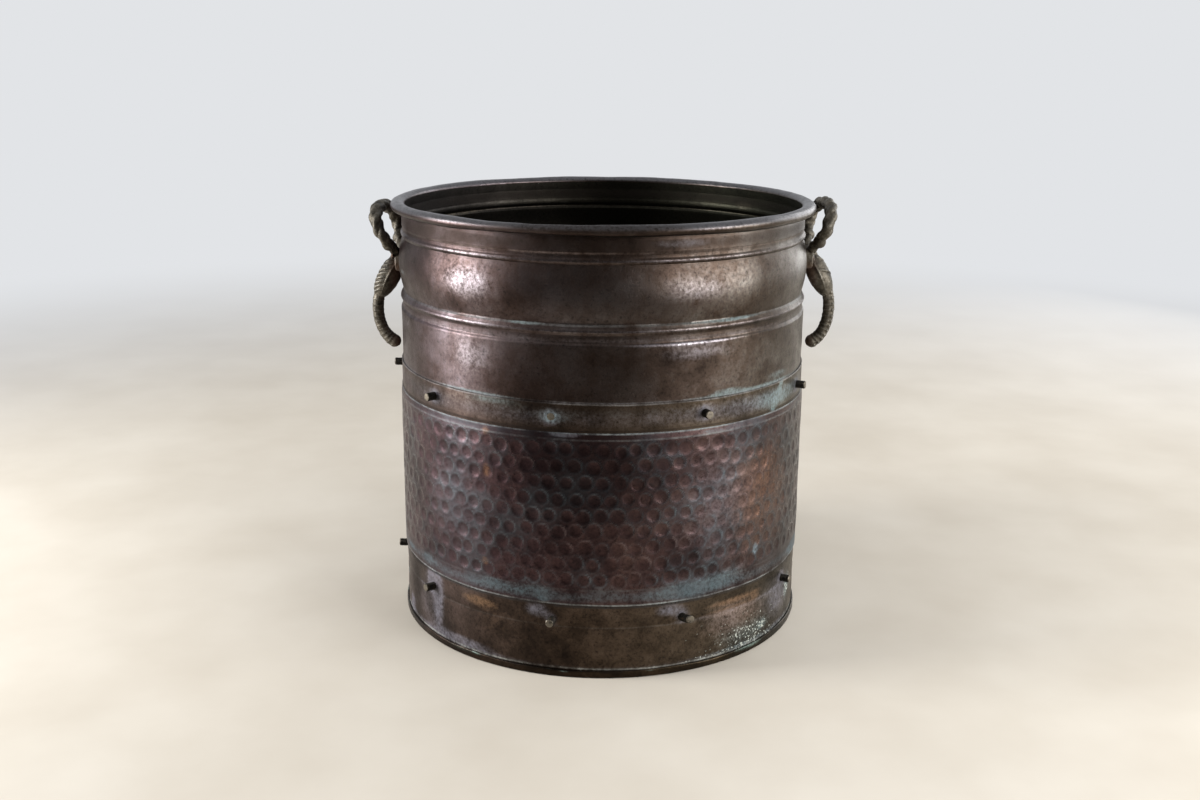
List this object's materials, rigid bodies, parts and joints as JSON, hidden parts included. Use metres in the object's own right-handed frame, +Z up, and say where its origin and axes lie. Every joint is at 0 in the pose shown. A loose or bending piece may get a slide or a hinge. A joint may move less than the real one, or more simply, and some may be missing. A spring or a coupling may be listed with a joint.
{
  "type": "copper bucket",
  "caption": "Round aged copper bucket with rolled rim, ring beads, hammered band, threaded studs and cast side handles.",
  "frame": {"origin": "centre of the bucket's flat underside, on the surface it stands on", "axes": "+Z up along the bucket's axis; the two handles are at +X and -X; -Y is the front"},
  "size_m": [0.335, 0.2974, 0.3019],
  "materials": {
    "aged_copper": "aged, dark brown patina with worn patches",
    "hammered_copper": "hammered, purple-brown patina with verdigris",
    "base_copper": "dull, dark",
    "cast_bronze": "cast, dull olive brown",
    "rivet_copper": "aged",
    "stud_steel": "dull, blackened thread"
  },
  "bodies": {
    "root": {"upper_shell": "aged_copper", "lower_drum": "aged_copper", "hammered_sleeve": "hammered_copper", "base_disc": "base_copper", "handle_right": "cast_bronze", "handle_left": "cast_bronze", "handle_rivet_right_front": "rivet_copper", "handle_rivet_right_rear": "rivet_copper", "handle_rivet_left_front": "rivet_copper", "handle_rivet_left_rear": "rivet_copper", "upper_stud_1": "stud_steel", "upper_stud_2": "stud_steel", "upper_stud_3": "stud_steel", "upper_stud_4": "stud_steel", "upper_stud_5": "stud_steel", "upper_stud_6": "stud_steel", "upper_stud_7": "stud_steel", "upper_stud_8": "stud_steel", "upper_stud_9": "stud_steel", "lower_stud_1": "stud_steel", "lower_stud_2": "stud_steel", "lower_stud_3": "stud_steel", "lower_stud_4": "stud_steel", "lower_stud_5": "stud_steel", "lower_stud_6": "stud_steel", "lower_stud_7": "stud_steel", "lower_stud_8": "stud_steel", "lower_stud_9": "stud_steel"}
  },
  "joints": []
}
